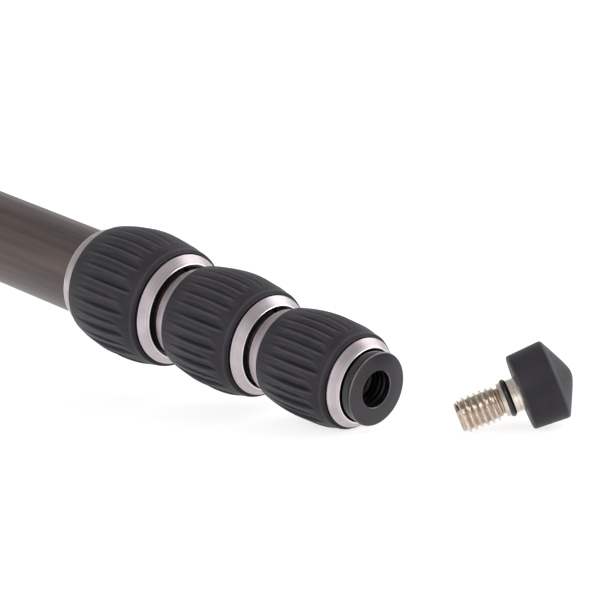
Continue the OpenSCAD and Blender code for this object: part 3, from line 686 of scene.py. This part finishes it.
# Foot sockets
end = leg["length"]
socket = {
    "face": 9.95, "wall": 9.55, "mouth": 5.0, "mouthDeep": 5.4, "boreDeep": 19, "tipDeep": 1.2,
    "shank": 6.87, "shankDeep": 25, "shankEdge": 0.6, "show": 3.4, "step": 8.4, "stepHigh": 0.3,
    # From the wall at the tube's end, then from the wall, the face's edge and the mouth, all at the face
    "rearCorner": [(-0.2, 0.3), (0, 0.45)],
    "groove": [(0, -1.3), (-0.05, -1.1), (-0.2, -1.0), (-0.5, -0.95), (-0.5, -0.62)],
    "rim": [(-0.12, -0.58), (0, -0.48), (0, -0.25), (-0.05, -0.12), (-0.14, -0.03), (-0.24, 0)],
    "mouthEdge": [(0.18, 0), (0, -0.22)],
    "thread": {"root": 4.8, "crest": 4.12, "from": end - 18.8, "to": end - 5.3, "runOut": 1.2, "runIn": 1.6},
    "leadIn": {"root": 5.0, "crest": 4.62, "from": end - 5.3, "to": end - 0.9, "runOut": 0.4, "runIn": 0.9},
    "threadParts": 90, "leadInParts": 40, "sides": 144, "smoothTo": 30,
    # How far a finish reaches from the mouth, the wall or the face's edge, all at the face
    "boreReach": [5.0, 0.01, 21, -0.22], "grooveReach": [0.6, 0.3, 1.0, -0.55],
    "wallReach": [0.3, 0.1, 3.4, -0.99],
    "rimReach": [0.26, 0.1, 0.26, -0.005], "mouthReach": [-0.01, 0.2, 0.23, -0.005],
}
face, wall, mouth, shank = socket["face"], socket["wall"], socket["mouth"], socket["shank"]
tubeEnd = end - socket["show"]
shankEnd = end - socket["shankDeep"]
outline = [(0, shankEnd), (shank - socket["shankEdge"], shankEnd), (shank, shankEnd + socket["shankEdge"]),
           (shank, tubeEnd), (socket["step"], tubeEnd), (socket["step"], tubeEnd + socket["stepHigh"])]
outline += stretch(wall, tubeEnd, socket["rearCorner"]) + stretch(wall, end, socket["groove"])
outline += stretch(face, end, socket["rim"]) + stretch(mouth, end, socket["mouthEdge"])
outline += threadWall(mouth, socket["leadIn"]["to"], socket["leadIn"]["from"], socket["leadInParts"])
outline += threadWall(socket["thread"]["root"], end - socket["mouthDeep"], end - socket["boreDeep"],
                      socket["threadParts"])
outline += [(0, end - socket["boreDeep"] - socket["tipDeep"])]
blank = turned("socketBlank", outline, socket["sides"])
cutThread(blank, socket["thread"])
cutThread(blank, socket["leadIn"])
smooth(blank, socket["smoothTo"])
# the bore and the flange's groove get painted shade
shadedBoreFaces = facesWithin(blank, [reachFrom(mouth, end, socket["boreReach"])])
shadedGrooveFaces = facesWithin(blank, [reachFrom(wall, end, socket["grooveReach"])])
# the wall behind the flange gets a darker colour as painted shade
shadedWallFaces = facesWithin(blank, [reachFrom(wall, end, socket["wallReach"])])
# the face's rim and the mouth's edge get a painted highlight
highlitFaces = facesWithin(blank, [reachFrom(face, end, socket["rimReach"]),
                                reachFrom(mouth, end, socket["mouthReach"])])
for i, name in enumerate(legNames):
    piece = copyOf(blank, f"footSocket_{name}")
    settle(piece, legMatrix(i))
    fit(piece, f"section_{name}4", looks["black", name], "black_aluminium", f"leg_{name}_socket")
    finishFaces(piece, shadedBoreFaces + shadedGrooveFaces, looks["bore", name])
    finishFaces(piece, shadedWallFaces, looks["wall", name])
    finishFaces(piece, highlitFaces, looks["edgeHighlight", name])
bpy.data.objects.remove(blank)
print("foot sockets are turned")

# Rubber feet
pad = {
    "rear": 10.0, "rim": 10.5, "length": 9.9, "apex": 14.2, "blunt": 1.9, "coneParts": 12,
    "hole": 4.5, "holeDeep": 3.1, "holeEdge": 0.25, "rearRound": 0.6,
    "sideShares": [0.25, 0.5, 0.75, 1], "sideEnd": -0.85,
    "rimRound": [(-0.02, -0.5), (-0.12, -0.25), (-0.35, 0)],  # from the rim's radius and the side's length
    # painted highlight along the cone's rim and along the rear edge
    "rimHighlight": {"strength": 0.5, "inward": 0.4, "down": 0.55},
    "rearHighlight": {"strength": 0.35, "inward": 0.35, "up": 0.5}, "sides": 144, "smoothTo": 38,
}
quarter = [math.radians(a) for a in range(0, 91, 15)]  # a quarter turn, in steps
coneEdge = pad["rim"] + pad["rimRound"][-1][0]


def coneFall(radius):
    # How far the cone has fallen at a radius, with a blunt tip
    return math.hypot(radius, pad["blunt"]) - pad["blunt"]


outline = [(pad["hole"], pad["holeDeep"]), (pad["hole"], pad["holeEdge"]), (pad["hole"] + pad["holeEdge"], 0),
           (pad["rear"] - pad["rearRound"], 0)]
rounding = [(math.sin(a) - 1, 1 - math.cos(a)) for a in quarter[1:]]
outline += stretch(pad["rear"], 0, rounding, pad["rearRound"])
sideWide, sideLong = pad["rim"] - pad["rear"], pad["length"] + pad["sideEnd"] - pad["rearRound"]
outline += stretch(pad["rear"], pad["rearRound"], [(sideWide * s, sideLong * s) for s in pad["sideShares"]])
outline += stretch(pad["rim"], pad["length"], pad["rimRound"])
for s in range(1, pad["coneParts"] + 1):
    r = coneEdge * (1 - s / pad["coneParts"])
    outline.append((r, pad["apex"] - (pad["apex"] - pad["length"]) * coneFall(r) / coneFall(coneEdge)))
blank = turned("padBlank", outline, pad["sides"])
smooth(blank, pad["smoothTo"])
points = readPoints(blank)
radius, height = np.hypot(points[:, 0], points[:, 1]), points[:, 2]
# painted highlight: lighter along the cone's rim and the rear edge
rim, rear = pad["rimHighlight"], pad["rearHighlight"]
rimHighlight = rim["strength"] * ((radius > pad["rim"] - rim["inward"]) & (height > pad["length"] - rim["down"]))
rearHighlight = rear["strength"] * ((radius > pad["rear"] - rear["inward"]) & (height < rear["up"]))
paintPoints(blank, "wear", np.maximum(rimHighlight, rearHighlight))
for i, name in enumerate(legNames):
    piece = copyOf(blank, f"footPad_{name}")
    settle(piece, footMatrix(i))
    fit(piece, f"foot_{name}", looks["rubber"], "grip_rubber", f"foot_{name}_pad")
bpy.data.objects.remove(blank)

# Foot studs and their sealing rings, as radii and heights over the rubber's rear face
stud = {
    "tip": [(0, -16.975), (3.3, -16.975), (3.55, -16.875)],
    "thread": {"root": 3.8, "crest": 4.7, "from": -16.7, "to": -6.0, "runOut": 0.9, "runIn": 0.5},
    "relief": [(3.42, -5.85), (3.42, -5.3), (3.57, -5.15)],
    "collar": [(4.35, -5.15), (4.5, -5.0), (4.5, -4.1), (4.4, -4.0)],
    "sealSeat": [(3.42, -4.0), (3.42, -2.6)],
    "neck": [(4.37, -2.6), (4.47, -2.5), (4.47, -1.3), (4.32, -1.25), (4.32, -1.05), (4.47, -1.0),
             (4.47, 3.2)],
    "flange": [(7.0, 3.2), (7.0, 5.0), (0, 5.0)], "threadParts": 106, "sides": 128, "smoothTo": 40,
}
v = stud["thread"]
outline = stud["tip"] + threadWall(v["root"], v["from"], v["to"], stud["threadParts"])
outline += stud["relief"] + stud["collar"] + stud["sealSeat"] + stud["neck"] + stud["flange"]
blank = turned("studBlank", outline, stud["sides"])
cutThread(blank, stud["thread"])
smooth(blank, stud["smoothTo"])
for i, name in enumerate(legNames):
    piece = copyOf(blank, f"footStud_{name}")
    settle(piece, footMatrix(i))
    fit(piece, f"foot_{name}", looks["nickel", name], "foot_steel", f"foot_{name}_stud")
bpy.data.objects.remove(blank)

seal = {"middle": 4.25, "thick": 0.8, "at": -3.3, "sides": 96, "roundSides": 24, "smoothTo": 60}
for i, name in enumerate(legNames):
    bpy.ops.object.select_all(action="DESELECT")
    bpy.ops.mesh.primitive_torus_add(major_segments=seal["sides"], minor_segments=seal["roundSides"],
                                     major_radius=seal["middle"] * mm, minor_radius=seal["thick"] * mm)
    piece = bpy.context.object
    piece.name = f"footSeal_{name}"
    smooth(piece, seal["smoothTo"])
    settle(piece, footMatrix(i) @ move(0, 0, seal["at"]))
    fit(piece, f"foot_{name}", looks["seal"], "grip_rubber", *(["foot_a_seal"] if i == 0 else []))
print("feet are made")

# Leg castings, stops, crown and bolts, with their edges broken
brokenEdge = {"casting": 0.5, "stop": 0.3, "bolt": 0.2, "columnEnd": 0.25}
for i, name in enumerate(legNames):
    piece = eased(f"leg_{name}_shoulder", f"legShoulder_{name}", brokenEdge["casting"])
    fit(piece, f"leg_{name}", looks["cast"], "black_aluminium", f"leg_{name}_shoulder")
    piece = eased(f"leg_{name}_stop", f"legStop_{name}", brokenEdge["stop"])
    fit(piece, f"stop_{name}", looks["turned", name], "turned_aluminium", f"leg_{name}_stop")
piece = eased("crown", "crownCasting", brokenEdge["casting"])
fit(piece, "hub", looks["cast"], "black_aluminium", "crown")
piece = eased("pivot_bolts", "pivotBolts", brokenEdge["bolt"])
fit(piece, "hub", looks["nickel", "hub"], "foot_steel", "pivot_bolts")
print("castings are eased")

# Column lock: its sleeve, then its bright collar
columnSleeve = {"rear": 19.3, "full": 20.5, "front": 19.1, "inner": 17.73, "back": -31.0, "ahead": -12.4,
                "fullestAt": 0.46, "first": 0}
columnGrip = dict(grip, rows=44, sides=400)
piece = gripBlank("columnGrip", columnGrip, columnSleeve)
carveGrooves(piece, columnGrip, columnSleeve)
smooth(piece, grip["smoothTo"])
fit(piece, "column_lock", looks["rubber"], "grip_rubber", "column_sleeve")

columnCollar = {
    "base": -34.2, "top": -8.2, "body": 17.7, "bore": 15.6,
    # From the bore and the body at the base, then from the body and the axis at the top
    "rearEdge": [(0, 0.2), (0.2, 0)],
    "rearRing": [(0.5, 0), (0.9, 0.2), (1, 0.5), (1, 2.8), (0.8, 3), (0, 3)],
    "coneRear": [(0, -4), (0.65, -4), (0.8, -3.85)],
    "mouth": [(15.15, -0.25), (14.8, 0), (12.95, 0), (12.9, -2), (13.9, -2), (15.6, -7.3)],
    "sides": 160, "smoothTo": 24,
}
v = columnCollar
outline = stretch(v["bore"], v["base"], v["rearEdge"]) + stretch(v["body"], v["base"], v["rearRing"])
outline += stretch(v["body"], v["top"], v["coneRear"]) + stretch(0, v["top"], v["mouth"]) + [outline[0]]
piece = turned("columnLockCollar", outline, v["sides"])
smooth(piece, v["smoothTo"])
fit(piece, "column_lock", looks["turned", "hub"], "turned_aluminium", "column_collar")

# Head plate with its ribbed top, and the head stud
plate = {
    "radius": 27.0, "spigot": 10.97, "spigotDeep": 25, "thick": 7.0, "hole": 3.98,
    "side": [(-3, -7), (-0.15, -5.1), (0, -4.8), (0, -1.1), (-0.3, -0.4), (-0.9, 0)],
    "ribs": 9, "firstRib": 2.4, "ribPitch": 1.5, "rib": [(0, 0), (-0.2, -0.35), (-0.65, -0.35), (-0.85, 0)],
    "countersink": [(5.1, 0), (5.1, -0.05), (3.98, -1.2)], "sides": 160, "smoothTo": 28,
}
v = plate
outline = [(v["hole"], -v["spigotDeep"]), (v["spigot"], -v["spigotDeep"]), (v["spigot"], -v["thick"])]
outline += stretch(v["radius"], 0, v["side"])
for k in range(v["ribs"]):
    outline += stretch(v["radius"] - v["firstRib"] - k * v["ribPitch"], 0, v["rib"])
outline += v["countersink"] + [outline[0]]
piece = turned("headPlate", outline, v["sides"])
smooth(piece, v["smoothTo"])
fit(piece, "column", looks["black", "hub"], "black_aluminium", "head_plate")

headStud = {
    "foot": [(0, -23), (3.95, -23), (3.95, 0.2)], "tip": [(3.7, 8.85), (3.4, 9), (0, 9)],
    "thread": {"root": 3.95, "crest": 4.75, "from": 0.4, "to": 8.6, "runOut": 0.6, "runIn": 0.8},
    "threadParts": 84, "sides": 128, "smoothTo": 40,
}
v = headStud["thread"]
outline = headStud["foot"] + threadWall(v["root"], v["from"], v["to"], headStud["threadParts"])
outline += headStud["tip"]
piece = turned("headStud", outline, headStud["sides"])
cutThread(piece, v)
smooth(piece, headStud["smoothTo"])
fit(piece, "column", looks["nickel", "hub"], "foot_steel", "head_stud")

# Column end
piece = eased("column_end", "columnEnd", brokenEdge["columnEnd"])
fit(piece, "column", looks["black", "hub"], "black_aluminium", "column_end")

# Level: fluid under a low dome
vial = {"x": -25.0, "top": -37.0, "radius": 5.5, "deep": 4.4, "dome": 0.6, "sides": 96, "smoothTo": 40}
dome = [(vial["radius"] * math.cos(a), vial["dome"] * math.sin(a)) for a in quarter]
piece = turned("levelVial", [(0, -vial["deep"]), (vial["radius"], -vial["deep"])] + dome, vial["sides"])
smooth(piece, vial["smoothTo"])
settle(piece, move(vial["x"], 0, vial["top"]))
fit(piece, "hub", looks["fluid"], "vial_glass", "level_vial")
print("hub is made")

# CAD nodes that stay as they are get their finishes
for name in legNames:
    for k in range(4):
        paint(nodes[f"leg_{name}_tube_{k + 1}"], looks["carbon", name])
for k in range(4):
    paint(nodes[f"leg_a_bush_{k + 1}"], looks["acetal"])
paint(nodes["column_tube"], looks["carbon", "hub"])
paint(nodes["ballast_hook"], looks["nickel", "hub"])
print("finishes are on")
